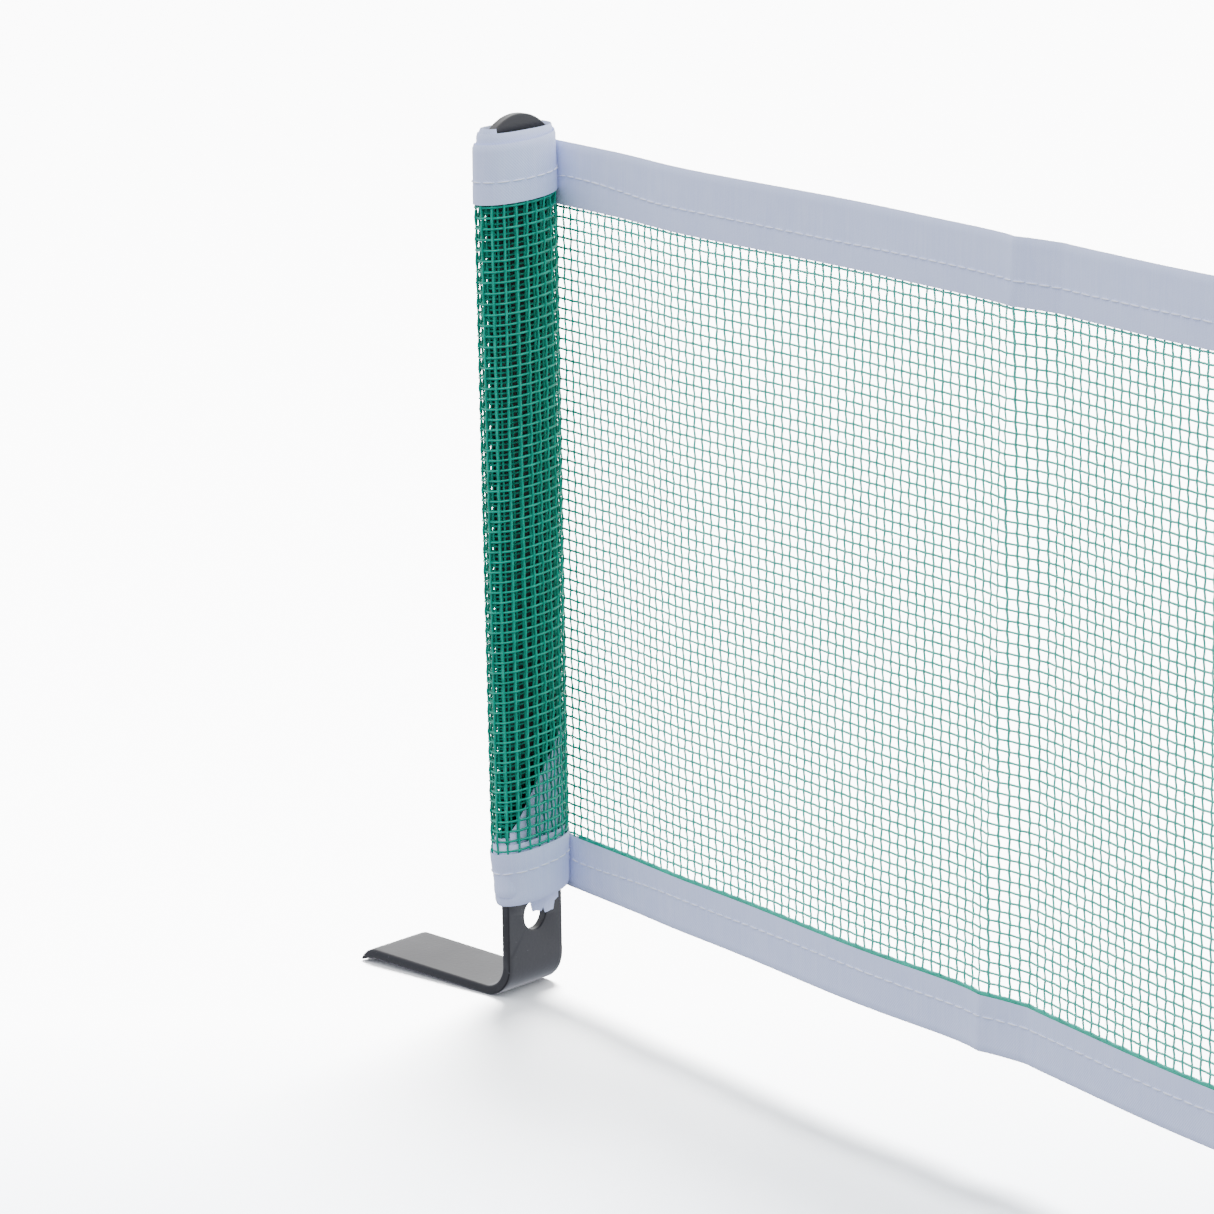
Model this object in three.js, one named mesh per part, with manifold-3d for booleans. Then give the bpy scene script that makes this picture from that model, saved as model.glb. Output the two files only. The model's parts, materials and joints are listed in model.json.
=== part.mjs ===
// A table tennis net wound at each end onto a bent steel clamp post.
// Millimetres, +Z up. The net runs along X; the posts' feet stand on Z = 0.
import * as THREE from "three";
import { mergeVertices } from "three/addons/utils/BufferGeometryUtils.js";
import Module from "manifold-3d";

const wasm = await Module();
wasm.setup();

// Clamp post: one strip of steel with an upright, a bend, a foot and a curled lip.
const STRIP_WIDTH = 16;
const STRIP_THICKNESS = 2;
const POST_HEIGHT = 180.4;
const TOP_RADIUS = 11; // of the shallow arch that ends the upright
const BEND_RADIUS = 5; // inside of the bend
const FOOT_LENGTH = 42.2; // from the upright's outer face to the lip's tip
const LIP_RADIUS = 4.5;
const LIP_TURN = THREE.MathUtils.degToRad(70);
const LIP_DROP = 1.2; // how far the tip reaches below the foot's underside
const LIP_EDGE = 0.3;
const HOLE_RADIUS = 3.2;
const HOLE_HEIGHT = 16.6;
const POST_TURN = THREE.MathUtils.degToRad(13.4); // about Z, from the net's direction

// Net: its height is the standard one. Tapes are folded over the mesh's edges.
const NET_HEIGHT = 152.5;
const NET_LIFT = 21.2; // from the ground to the net's lower edge
const TOP_TAPE = 12.6;
const BOTTOM_TAPE = 11;
const TAPE_THICKNESS = 1.1;
const MESH_THICKNESS = 0.7;
const SELVAGE = 0.8; // thick thread along the bottom tape
const SEAM_SHARE = 0.34; // place of the stitching, as a share of the tape from the mesh
const SEAM_HEIGHT = 0.5;
const SEAM_THICKNESS = 0.4;
const POST_DISTANCE = 240; // between the two uprights, along the net

// Winding: loose turns round the upright, each one a little higher than the one outside it.
const TURNS = 3;
const TURN_RISE = 1.75;
const ROLL_HALF_WIDTH = 10.1; // along the strip's width
const ROLL_HALF_DEPTH = 6.6; // across the strip
const CORE_HALF_WIDTH = 8.6;
const CORE_HALF_DEPTH = 3;
const FOLD_DISTANCE = 10; // from the upright to the line where the net folds
const FOLD_GAP = 0.7; // each side of that line
const FLAP_START = 5; // where the flap is clear of the inner turns
const GAP = 0.3; // between neighbouring pieces
const SMOOTH = 16; // segments round an oval

// Small white pieces inside the winding, in front of the upright.
const PATCH_WIDTH = 11.4;
const PATCH_HEIGHT = 17.5;
const PATCH_THICKNESS = 0.5;
const TAIL_WIDTH = 6.4;
const TAIL_BOTTOM = 19.3;
const TAIL_TOP = 31;
const TAIL_OFFSET = 1.8; // from the middle of the strip, along its width

const NET_TOP = NET_LIFT + NET_HEIGHT;
const MESH_BOTTOM = NET_LIFT + BOTTOM_TAPE + GAP;
const MESH_TOP = NET_TOP - TOP_TAPE - GAP;

const finishes = {
  steel: { color: 0x2b2b2d, roughness: 0.42, metalness: 0.3 },
  mesh: { color: 0x0f8f68, roughness: 0.5, metalness: 0 },
  tape: { color: 0xc4cbe0, roughness: 0.85, metalness: 0 },
  thread: { color: 0xe6e9f2, roughness: 0.8, metalness: 0 },
};

function node(name, geometry, finish) {
  const mesh = new THREE.Mesh(geometry, new THREE.MeshStandardMaterial(finishes[finish]));
  mesh.name = name;
  return mesh;
}

function toSolid(geometry) {
  const bare = geometry.clone();
  bare.deleteAttribute("normal");
  bare.deleteAttribute("uv");
  const merged = mergeVertices(bare, 1e-4);
  const solid = new wasm.Mesh({
    numProp: 3,
    vertProperties: merged.attributes.position.array,
    triVerts: new Uint32Array(merged.index.array),
  });
  return new wasm.Manifold(solid);
}

function toGeometry(solid) {
  const mesh = solid.getMesh();
  const geometry = new THREE.BufferGeometry();
  geometry.setAttribute("position", new THREE.BufferAttribute(mesh.vertProperties, 3));
  geometry.setIndex(new THREE.BufferAttribute(mesh.triVerts, 1));
  const flat = geometry.toNonIndexed();
  flat.computeVertexNormals();
  return flat;
}

function block(size, centre) {
  return new THREE.BoxGeometry(...size).translate(...centre);
}

// An outline drawn in the XY plane, raised from one height to another.
function raised(shape, bottom, top) {
  const geometry = new THREE.ExtrudeGeometry(shape, {
    depth: top - bottom,
    bevelEnabled: false,
    curveSegments: SMOOTH,
  });
  return geometry.translate(0, 0, bottom);
}

// --- Clamp post, in its own frame: X is the outer face's normal, Y the strip's width ---

function postSide() {
  const outerBend = BEND_RADIUS + STRIP_THICKNESS;
  const lipReach = LIP_RADIUS * Math.sin(LIP_TURN);
  const straight = FOOT_LENGTH - outerBend - lipReach;
  const slope = Math.atan2(LIP_DROP, straight);
  const outward = new THREE.Vector2(-Math.cos(slope), Math.sin(slope));
  const upward = new THREE.Vector2(Math.sin(slope), Math.cos(slope));
  const bendCentre = new THREE.Vector2(-outerBend, outerBend);
  const onFoot = (along, height) =>
    bendCentre
      .clone()
      .addScaledVector(upward, height - outerBend)
      .addScaledVector(outward, along);
  const crown = onFoot(straight, STRIP_THICKNESS);
  const lipCentre = onFoot(straight, STRIP_THICKNESS - LIP_RADIUS);
  const tipAngle = Math.PI / 2 + slope + LIP_TURN;
  const tip = new THREE.Vector2(Math.cos(tipAngle), Math.sin(tipAngle));
  tip.multiplyScalar(LIP_RADIUS).add(lipCentre);
  const side = new THREE.Shape();
  side.moveTo(0, POST_HEIGHT);
  side.lineTo(-STRIP_THICKNESS, POST_HEIGHT);
  side.lineTo(-STRIP_THICKNESS, outerBend);
  side.absarc(bendCentre.x, bendCentre.y, BEND_RADIUS, 0, -Math.PI / 2 - slope, true);
  side.lineTo(crown.x, crown.y);
  side.absarc(lipCentre.x, lipCentre.y, LIP_RADIUS, Math.PI / 2 + slope, tipAngle, false);
  side.lineTo(tip.x, 0);
  side.lineTo(tip.x + LIP_EDGE, 0);
  const hollow = onFoot(straight - 1, 0);
  const pull = onFoot(straight + 1, 0);
  side.quadraticCurveTo(pull.x, pull.y, hollow.x, hollow.y);
  const underBend = onFoot(0, 0);
  side.lineTo(underBend.x, underBend.y);
  side.absarc(bendCentre.x, bendCentre.y, outerBend, -Math.PI / 2 - slope, 0, false);
  side.closePath();
  return side;
}

function postFront() {
  const half = STRIP_WIDTH / 2;
  const shoulder = Math.acos(half / TOP_RADIUS);
  const archCentre = POST_HEIGHT - TOP_RADIUS;
  const front = new THREE.Shape();
  front.moveTo(-half, -half);
  front.lineTo(half, -half);
  front.absarc(0, archCentre, TOP_RADIUS, shoulder, Math.PI - shoulder, false);
  front.closePath();
  const hole = new THREE.Path();
  hole.absarc(0, HOLE_HEIGHT, HOLE_RADIUS, 0, 2 * Math.PI, true);
  front.holes.push(hole);
  return front;
}

function clampPost() {
  const bent = new THREE.ExtrudeGeometry(postSide(), {
    depth: STRIP_WIDTH,
    bevelEnabled: false,
    curveSegments: 12,
  });
  bent.translate(0, 0, -STRIP_WIDTH / 2).rotateX(Math.PI / 2);
  const outline = new THREE.ExtrudeGeometry(postFront(), {
    depth: 2 * FOOT_LENGTH,
    bevelEnabled: false,
    curveSegments: 20,
  });
  outline.translate(0, 0, -1.5 * FOOT_LENGTH).rotateX(Math.PI / 2).rotateZ(Math.PI / 2);
  const foot = block(
    [FOOT_LENGTH, STRIP_WIDTH, HOLE_HEIGHT],
    [-FOOT_LENGTH / 2 - STRIP_THICKNESS - GAP, 0, 0],
  );
  const trimmed = toSolid(outline).add(toSolid(foot)).intersect(toSolid(bent));
  return toGeometry(trimmed).translate(STRIP_THICKNESS / 2, 0, 0);
}

// --- Winding, in the post's frame, centred on the upright ---

function oval(halfDepth, halfWidth, from = 0, to = 2 * Math.PI) {
  return new THREE.Shape().absellipse(0, 0, halfDepth, halfWidth, from, to, false);
}

// Half the winding's size, measured from the upright towards the free net's plane.
const NET_PLANE = Math.hypot(
  ROLL_HALF_DEPTH * Math.sin(POST_TURN),
  ROLL_HALF_WIDTH * Math.cos(POST_TURN),
);
const NET_MIDDLE = NET_PLANE - TAPE_THICKNESS / 2;

// A flap that leaves the winding in the net's plane and ends at the fold.
function flap(thickness, bottom, top, start = 0) {
  const end = FOLD_DISTANCE - FOLD_GAP;
  const plate = block(
    [end - start, thickness, top - bottom],
    [(start + end) / 2, NET_MIDDLE, (top + bottom) / 2],
  );
  return toSolid(plate.rotateZ(-POST_TURN));
}

// Turns that step up towards the upright, joined with the flap.
function turns(bottom, top, thickness, rise) {
  let wound = flap(thickness, bottom, top);
  for (let turn = 0; turn < TURNS; turn += 1) {
    const share = turn / TURNS;
    const outline = oval(
      THREE.MathUtils.lerp(ROLL_HALF_DEPTH, CORE_HALF_DEPTH, share),
      THREE.MathUtils.lerp(ROLL_HALF_WIDTH, CORE_HALF_WIDTH, share),
    );
    outline.holes.push(oval(CORE_HALF_DEPTH, CORE_HALF_WIDTH));
    wound = wound.add(toSolid(raised(outline, bottom + turn * rise, top + turn * rise)));
  }
  return toGeometry(wound);
}

// The mesh between the wound tapes, whose steps it leaves room for.
function woundMesh() {
  const outline = oval(ROLL_HALF_DEPTH, ROLL_HALF_WIDTH);
  outline.holes.push(oval(CORE_HALF_DEPTH, CORE_HALF_WIDTH));
  const bottom = MESH_BOTTOM + (TURNS - 1) * TURN_RISE;
  const wound = toSolid(raised(outline, bottom, MESH_TOP))
    .add(flap(MESH_THICKNESS, bottom, MESH_TOP))
    .add(flap(MESH_THICKNESS, MESH_BOTTOM, MESH_TOP, FLAP_START));
  return toGeometry(wound);
}

// Stitching: a narrow band round the outside of a tape, open where the flap leaves.
function seamBand(bottom) {
  const start = Math.atan2(
    ROLL_HALF_WIDTH * Math.cos(POST_TURN),
    ROLL_HALF_DEPTH * Math.sin(POST_TURN),
  );
  const end = start + 2 * Math.PI - Math.PI / 4;
  const inner = GAP;
  const outer = GAP + SEAM_THICKNESS;
  const band = oval(ROLL_HALF_DEPTH + outer, ROLL_HALF_WIDTH + outer, start, end);
  band.absellipse(0, 0, ROLL_HALF_DEPTH + inner, ROLL_HALF_WIDTH + inner, end, start, true);
  band.closePath();
  return raised(band, bottom, bottom + SEAM_HEIGHT);
}

const FRONT_OF_STRIP = STRIP_THICKNESS / 2 + GAP + PATCH_THICKNESS / 2;

// The tape's corner, folded over diagonally, at the bottom of the mesh.
function cornerPatch() {
  const half = PATCH_WIDTH / 2;
  const triangle = new THREE.Shape();
  triangle.moveTo(-half, 0);
  triangle.lineTo(half, 0);
  triangle.lineTo(half, PATCH_HEIGHT);
  triangle.lineTo(-half, 1);
  triangle.closePath();
  const patch = new THREE.ExtrudeGeometry(triangle, {
    depth: PATCH_THICKNESS,
    bevelEnabled: false,
  });
  patch.translate(0, 0, -PATCH_THICKNESS / 2).rotateX(Math.PI / 2).rotateZ(Math.PI / 2);
  return patch.translate(FRONT_OF_STRIP, 0, MESH_BOTTOM);
}

function tapeTail() {
  return block(
    [PATCH_THICKNESS, TAIL_WIDTH, TAIL_TOP - TAIL_BOTTOM],
    [FRONT_OF_STRIP, TAIL_OFFSET, (TAIL_TOP + TAIL_BOTTOM) / 2],
  );
}

const TOP_SEAM = NET_TOP - TOP_TAPE * (1 - SEAM_SHARE);
const BOTTOM_SEAM = NET_LIFT + BOTTOM_TAPE * (1 - SEAM_SHARE);

function netEnd(side) {
  const end = new THREE.Group();
  const topTape = turns(NET_TOP - TOP_TAPE, NET_TOP, TAPE_THICKNESS, TURN_RISE);
  const bottomTape = turns(NET_LIFT, NET_LIFT + BOTTOM_TAPE, TAPE_THICKNESS, TURN_RISE);
  end.add(
    node(`${side}_clamp_post`, clampPost(), "steel"),
    node(`${side}_wound_mesh`, woundMesh(), "mesh"),
    node(`${side}_wound_top_tape`, topTape, "tape"),
    node(`${side}_wound_bottom_tape`, bottomTape, "tape"),
    node(`${side}_wound_top_stitching`, seamBand(TOP_SEAM), "thread"),
    node(`${side}_wound_bottom_stitching`, seamBand(BOTTOM_SEAM), "thread"),
    node(`${side}_corner_patch`, cornerPatch(), "tape"),
    node(`${side}_tape_tail`, tapeTail(), "tape"),
  );
  end.rotation.z = POST_TURN;
  return end;
}

// --- Free net, between the two folds ---

function panel(bottom, top, thickness) {
  const length = POST_DISTANCE - 2 * (FOLD_DISTANCE + FOLD_GAP);
  return block(
    [length, thickness, top - bottom],
    [POST_DISTANCE / 2, NET_MIDDLE, (top + bottom) / 2],
  );
}

function panelSeam(bottom) {
  const inset = TAPE_THICKNESS;
  const length = POST_DISTANCE - 2 * (FOLD_DISTANCE + FOLD_GAP + inset);
  const face = NET_MIDDLE - TAPE_THICKNESS / 2;
  return block(
    [length, SEAM_THICKNESS, SEAM_HEIGHT],
    [POST_DISTANCE / 2, face - GAP - SEAM_THICKNESS / 2, bottom + SEAM_HEIGHT / 2],
  );
}

function freeNet() {
  const net = new THREE.Group();
  const selvageTop = MESH_BOTTOM + SELVAGE;
  net.add(
    node("net_mesh", panel(selvageTop + GAP, MESH_TOP, MESH_THICKNESS), "mesh"),
    node("net_bottom_selvage", panel(MESH_BOTTOM, selvageTop, SELVAGE), "mesh"),
    node("net_top_tape", panel(NET_TOP - TOP_TAPE, NET_TOP, TAPE_THICKNESS), "tape"),
    node("net_bottom_tape", panel(NET_LIFT, NET_LIFT + BOTTOM_TAPE, TAPE_THICKNESS), "tape"),
    node("net_top_stitching", panelSeam(TOP_SEAM), "thread"),
    node("net_bottom_stitching", panelSeam(BOTTOM_SEAM), "thread"),
  );
  return net;
}

// The right end is the left end turned half round the net's middle line.
const leftEnd = netEnd("left");
const rightEnd = new THREE.Group();
rightEnd.add(netEnd("right"));
rightEnd.rotation.z = Math.PI;
rightEnd.position.set(POST_DISTANCE, 2 * NET_MIDDLE, 0);

const set = new THREE.Group();
set.add(leftEnd, rightEnd, freeNet());
set.position.set(-POST_DISTANCE / 2, -NET_MIDDLE, 0);

const part = new THREE.Group();
part.add(set);

export default part;
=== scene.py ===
# %% [markdown]
# # A table tennis net wound onto two clamp posts
# The object is a low net of green coated thread, edged with white tape. Each end of the net is
# wound in a few loose turns round a post bent from one strip of black steel. The model's design,
# with its sizes and joints, comes from a fixed frame, and this lesson makes the surfaces that
# are seen: the strip with its rounded edges, the open mesh, the folded tapes and the stitches.

# %% Load the frame
import json
import math

import bmesh
import bpy
import numpy as np
from mathutils import Matrix, Vector


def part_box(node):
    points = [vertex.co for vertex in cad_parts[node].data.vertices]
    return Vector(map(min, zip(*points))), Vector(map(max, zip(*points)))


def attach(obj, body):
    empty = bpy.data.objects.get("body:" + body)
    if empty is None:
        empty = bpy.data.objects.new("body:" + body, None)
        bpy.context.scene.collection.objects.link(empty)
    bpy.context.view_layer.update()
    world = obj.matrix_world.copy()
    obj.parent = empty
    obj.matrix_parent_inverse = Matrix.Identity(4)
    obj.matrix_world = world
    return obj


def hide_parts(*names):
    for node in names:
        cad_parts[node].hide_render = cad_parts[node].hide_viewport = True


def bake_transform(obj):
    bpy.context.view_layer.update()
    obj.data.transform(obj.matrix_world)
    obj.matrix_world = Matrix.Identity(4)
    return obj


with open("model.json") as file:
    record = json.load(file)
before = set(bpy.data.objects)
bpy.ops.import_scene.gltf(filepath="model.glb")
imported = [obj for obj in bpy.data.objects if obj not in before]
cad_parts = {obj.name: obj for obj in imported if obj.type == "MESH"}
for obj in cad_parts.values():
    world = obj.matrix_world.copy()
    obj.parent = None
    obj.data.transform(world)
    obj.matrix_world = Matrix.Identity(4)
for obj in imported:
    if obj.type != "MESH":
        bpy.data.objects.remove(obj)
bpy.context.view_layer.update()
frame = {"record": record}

record = frame["record"]
MM = 0.001

# %% [markdown]
# ## Places from the frame
# A maker marks out from the part that is already there. The post's turn about the vertical is
# read from the direction of its clamping face, and the net's heights are read from the boxes of
# its tapes. The set looks the same after half a turn about the vertical through the origin, so
# every piece of the right end is the left one turned round.

# %% Read the post's place and the net's heights
mounts = {mount["name"]: mount for mount in record["mounts"]}
STRIP_WIDTH = 16 * MM
STRIP_THICKNESS = 2 * MM
face_normal = Vector(mounts["left_clamp_face"]["axis"]).normalized()
face_point = Vector(mounts["left_clamp_face"]["pos_m"])
post_middle = face_point - face_normal * STRIP_THICKNESS / 2
post_middle.z = 0
screw_space = record["physics"]["openings"][0]["box_m"]
HOLE_HEIGHT = (screw_space[0][2] + screw_space[1][2]) / 2
POST_TURN = math.atan2(face_normal.y, face_normal.x)
to_left_end = Matrix.Translation(post_middle) @ Matrix.Rotation(POST_TURN, 4, "Z")
half_turn = Matrix.Rotation(math.pi, 4, "Z")
print(f"post at {post_middle.x:.4f} {post_middle.y:.4f}, turned {math.degrees(POST_TURN):.1f} degrees")

# %% Read the net's edges and its fold
POST_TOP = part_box("left_clamp_post")[1][2]
NET_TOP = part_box("net_top_tape")[1][2]
TOP_TAPE_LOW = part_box("net_top_tape")[0][2]
NET_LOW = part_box("net_bottom_tape")[0][2]
BOTTOM_TAPE_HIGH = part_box("net_bottom_tape")[1][2]
folds = {joint["name"]: joint["pos_m"][0] for joint in record["behaviour"]["joints"] if "pos_m" in joint}
FOLD = folds["net_right_fold"]
print(f"net from {NET_LOW:.4f} to {NET_TOP:.4f}, folds at {-FOLD:.3f} and {FOLD:.3f}")

# %% [markdown]
# ## Camera, light and ground
# A long lens far away keeps the net's edges almost parallel. The ground is one pale sheet whose
# colour is painted darker and a little bluer towards the front, a painted shade that stands in for
# the studio light falling off. The object is lit by a white surround, dark below, and one broad
# lamp above. A second lamp lights the ground alone, which keeps it white and leaves soft shadows
# under the feet without bleaching the cloth.

# %% Place the camera
CAMERA_PLACE = Vector((0.7073, -0.5575, 0.3214))
CAMERA_TURN = math.radians(34.449)  # from the net's direction, seen from above
CAMERA_TILT = math.radians(13.648)
CAMERA_ROLL = math.radians(-0.722)
LENS = 151.0

back = Vector((
    math.cos(CAMERA_TURN) * math.cos(CAMERA_TILT),
    -math.sin(CAMERA_TURN) * math.cos(CAMERA_TILT),
    math.sin(CAMERA_TILT),
))
level = Vector((math.sin(CAMERA_TURN), math.cos(CAMERA_TURN), 0))
upright = back.cross(level)
right = level * math.cos(CAMERA_ROLL) + upright * math.sin(CAMERA_ROLL)
up = upright * math.cos(CAMERA_ROLL) - level * math.sin(CAMERA_ROLL)
lens = bpy.data.cameras.new("camera")
lens.lens = LENS
lens.sensor_width = 36
lens.clip_start = 0.05
lens.clip_end = 20
camera = bpy.data.objects.new("camera", lens)
camera.matrix_world = Matrix.Translation(CAMERA_PLACE) @ Matrix((right, up, back)).transposed().to_4x4()
bpy.context.scene.collection.objects.link(camera)
bpy.context.scene.camera = camera


# %% Helpers for shader trees
def new_material(name):
    material = bpy.data.materials.new(name)
    material.use_nodes = True
    tree = material.node_tree
    shader = tree.nodes["Principled BSDF"]
    return material, tree, shader


def add_node(tree, kind, inputs=None, **settings):
    node = tree.nodes.new(kind)
    for key, value in settings.items():
        setattr(node, key, value)
    for key, value in (inputs or {}).items():
        if isinstance(value, bpy.types.NodeSocket):
            tree.links.new(value, node.inputs[key])
        else:
            node.inputs[key].default_value = value
    return node


def colour_ramp(tree, factor, stops):
    ramp = add_node(tree, "ShaderNodeValToRGB", {"Fac": factor})
    ramp.color_ramp.elements[0].position, ramp.color_ramp.elements[0].color = stops[0]
    ramp.color_ramp.elements[1].position, ramp.color_ramp.elements[1].color = stops[-1]
    for place, colour in stops[1:-1]:
        ramp.color_ramp.elements.new(place).color = colour
    return ramp.outputs["Color"]


def maths(tree, operation, first, second=0.0, third=0.5):
    node = add_node(tree, "ShaderNodeMath", {0: first, 1: second, 2: third}, operation=operation)
    return node.outputs["Value"]


# %% Lay the ground
ground_mesh = bpy.data.meshes.new("ground")
bm = bmesh.new()
bmesh.ops.create_grid(bm, x_segments=8, y_segments=8, size=3.0)
bm.to_mesh(ground_mesh)
bm.free()
ground = bpy.data.objects.new("ground", ground_mesh)
bpy.context.scene.collection.objects.link(ground)
material, tree, shader = new_material("pale_ground")
place = add_node(tree, "ShaderNodeTexCoord").outputs["Object"]
towards_front = add_node(tree, "ShaderNodeMapping", {
    "Vector": place, "Location": (0.34, 0.0, 0.0), "Scale": (2.2, -1.4, 1),
})
bands = add_node(tree, "ShaderNodeSeparateXYZ", {"Vector": towards_front.outputs["Vector"]})
nearness = maths(tree, "ADD", bands.outputs["X"], bands.outputs["Y"])
grain = add_node(tree, "ShaderNodeTexNoise", {"Vector": place, "Scale": 3.0, "Detail": 3.0})
softened = maths(tree, "ADD", nearness, maths(tree, "MULTIPLY", grain.outputs["Fac"], 0.15))
# painted shade: the ground's colour falls from near white to a bluish grey towards the front, for the
# light's falloff
painted_ground_shade = colour_ramp(tree, softened, (
    (0.0, (0.96, 0.96, 0.96, 1)),
    (0.2, (0.95, 0.95, 0.95, 1)),
    (0.75, (0.28, 0.32, 0.39, 1)),
))
tree.links.new(painted_ground_shade, shader.inputs["Base Color"])
shader.inputs["Roughness"].default_value = 0.6
shader.inputs["Specular IOR Level"].default_value = 0.3
ground_mesh.materials.append(material)

# %% Light it softly
BRIGHTEST = (-0.30, 0.45, 0.84)  # the direction that the surround is brightest in
world = bpy.data.worlds.new("white_surround")
world.use_nodes = True
sky = world.node_tree
surround = sky.nodes["Background"]
facing = add_node(sky, "ShaderNodeTexCoord").outputs["Generated"]
towards_lamp = add_node(sky, "ShaderNodeVectorMath", {0: facing, 1: BRIGHTEST}, operation="DOT_PRODUCT")
brightness = colour_ramp(sky, maths(sky, "MULTIPLY_ADD", towards_lamp.outputs["Value"], 0.5), (
    (0.0, (0.05, 0.055, 0.07, 1)),
    (0.45, (0.50, 0.53, 0.61, 1)),
    (1.0, (1.0, 1.0, 1.0, 1)),
))
sky.links.new(brightness, surround.inputs["Color"])
surround.inputs["Strength"].default_value = 2.8
bpy.context.scene.world = world


def aimed_lamp(name, kind, place, aim, power):
    lamp = bpy.data.lights.new(name, kind)
    lamp.energy = power
    holder = bpy.data.objects.new(name, lamp)
    turned = (Vector(aim) - Vector(place)).to_track_quat("-Z", "Y").to_matrix().to_4x4()
    holder.matrix_world = Matrix.Translation(place) @ turned
    bpy.context.scene.collection.objects.link(holder)
    return holder


lamp_above = aimed_lamp("lamp_above", "AREA", (-0.35, 0.35, 1.3), (0, 0, 0.05), 7.0)
lamp_above.data.shape = "DISK"
lamp_above.data.size = 0.7
ground_lamp = aimed_lamp("ground_lamp", "SUN", (-0.5, 0.6, 1.5), (0, 0, 0), 34.0)
ground_lamp.data.angle = math.radians(22)
lit_by_it = bpy.data.collections.new("ground_only")
lit_by_it.objects.link(ground)
ground_lamp.light_linking.receiver_collection = lit_by_it
ground.visible_diffuse = False
ground.visible_glossy = False

# %% [markdown]
# ## Finishing a piece
# All cloth here is first made flat, as it was cut: X runs along the net, Y is the height above
# the cloth's middle and Z is the height above the ground. Laying it means moving every point to
# its place on the wound and stretched net. Keeping the flat place as a UV map gives each weave
# its true scale after the cloth is wound.

# %% Helpers that turn a bmesh into finished pieces
def mesh_from(bm, name):
    mesh = bpy.data.meshes.new(name)
    bmesh.ops.recalc_face_normals(bm, faces=bm.faces)
    bm.to_mesh(mesh)
    bm.free()
    return mesh


def points_of(mesh):
    places = np.empty(len(mesh.vertices) * 3, np.float32)
    mesh.vertices.foreach_get("co", places)
    return places.reshape(-1, 3).astype(float)


def move_points(mesh, places):
    mesh.vertices.foreach_set("co", places.astype(np.float32).ravel())
    mesh.update()


def keep_flat_map(mesh, places):
    layer = mesh.uv_layers.new(name="flat")
    corners = np.empty(len(mesh.loops), np.int32)
    mesh.loops.foreach_get("vertex_index", corners)
    layer.data.foreach_set("uv", places[corners][:, [0, 2]].astype(np.float32).ravel())


def finish_piece(name, mesh, finish, body, nodes, smooth=True):
    mesh.name = name
    mesh.materials.clear()
    mesh.materials.append(finish)
    mesh.polygons.foreach_set("use_smooth", [smooth] * len(mesh.polygons))
    piece = bpy.data.objects.new(name, mesh)
    bpy.context.scene.collection.objects.link(piece)
    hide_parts(*nodes)
    if body:
        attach(piece, body)
    triangles = sum(len(face.vertices) - 2 for face in mesh.polygons)
    print(f"{name}: {triangles} triangles")
    return piece


# %% [markdown]
# ## The black paint
# The posts are steel strip under a thin coat of satin black paint. Paint on a bent strip shows a
# fine orange peel, dull patches from handling, and a few small specks where dust has stuck to the
# coat. The rounded edges catch the light by themselves.

# %% Satin black paint
def black_paint():
    material, tree, shader = new_material("satin_black_paint")
    place = add_node(tree, "ShaderNodeTexCoord").outputs["Object"]
    dust = add_node(tree, "ShaderNodeTexNoise", {"Vector": place, "Scale": 1100.0, "Detail": 3.0})
    specks = maths(tree, "MULTIPLY", maths(tree, "GREATER_THAN", dust.outputs["Fac"], 0.72), 0.3)
    cloud = add_node(tree, "ShaderNodeTexNoise", {"Vector": place, "Scale": 60.0, "Detail": 5.0})
    tone = colour_ramp(tree, cloud.outputs["Fac"], (
        (0.3, (0.010, 0.0095, 0.010, 1)),
        (0.7, (0.017, 0.0155, 0.017, 1)),
    ))
    colour = add_node(tree, "ShaderNodeMix", data_type="RGBA")
    tree.links.new(specks, colour.inputs["Factor"])
    tree.links.new(tone, colour.inputs["A"])
    colour.inputs["B"].default_value = (0.16, 0.16, 0.17, 1)
    tree.links.new(colour.outputs["Result"], shader.inputs["Base Color"])
    dull = colour_ramp(tree, cloud.outputs["Fac"], (
        (0.25, (0.28, 0.28, 0.28, 1)),
        (0.75, (0.40, 0.40, 0.40, 1)),
    ))
    tree.links.new(dull, shader.inputs["Roughness"])
    peel = add_node(tree, "ShaderNodeTexNoise", {"Vector": place, "Scale": 1400.0, "Detail": 2.0})
    bump = add_node(tree, "ShaderNodeBump", {
        "Height": peel.outputs["Fac"], "Strength": 0.12, "Distance": 0.0002,
    })
    tree.links.new(bump.outputs["Normal"], shader.inputs["Normal"])
    return material


BLACK_PAINT = black_paint()

# %% [markdown]
# ## The clamp post
# The real post starts as a flat strip: one end is rounded, a hole is punched near the bend, and
# then the foot and the curled lip are bent over a former. The model is made in the same order.
# A ring of faces is bridged between the hole and a square, the square's edges are drawn out to
# the full strip, the sheet gets its thickness and its rounded edges, and a bending step moves
# each point along the upright, the bend, the foot and the lip.

# %% Sizes of the post
HALF_WIDTH = STRIP_WIDTH / 2
HOLE_RADIUS = 3.2 * MM
TOP_RADIUS = 11 * MM  # of the shallow arch that ends the upright
BEND_INSIDE = 5 * MM
BEND_OUTSIDE = BEND_INSIDE + STRIP_THICKNESS
FOOT_LENGTH = 42.2 * MM
LIP_RADIUS = 4.5 * MM
LIP_TURN = math.radians(70)
LIP_DROP = 1.2 * MM
LIP_THINNING = 0.86  # share of the thickness that is gone at the lip's edge
EDGE_ROUND = 0.32 * MM
LEAN = 1.0 * MM  # of the post's top, along the strip's width
HOLE_SIDES = 48
BEND_STEPS = 16
LIP_STEPS = 10

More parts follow.
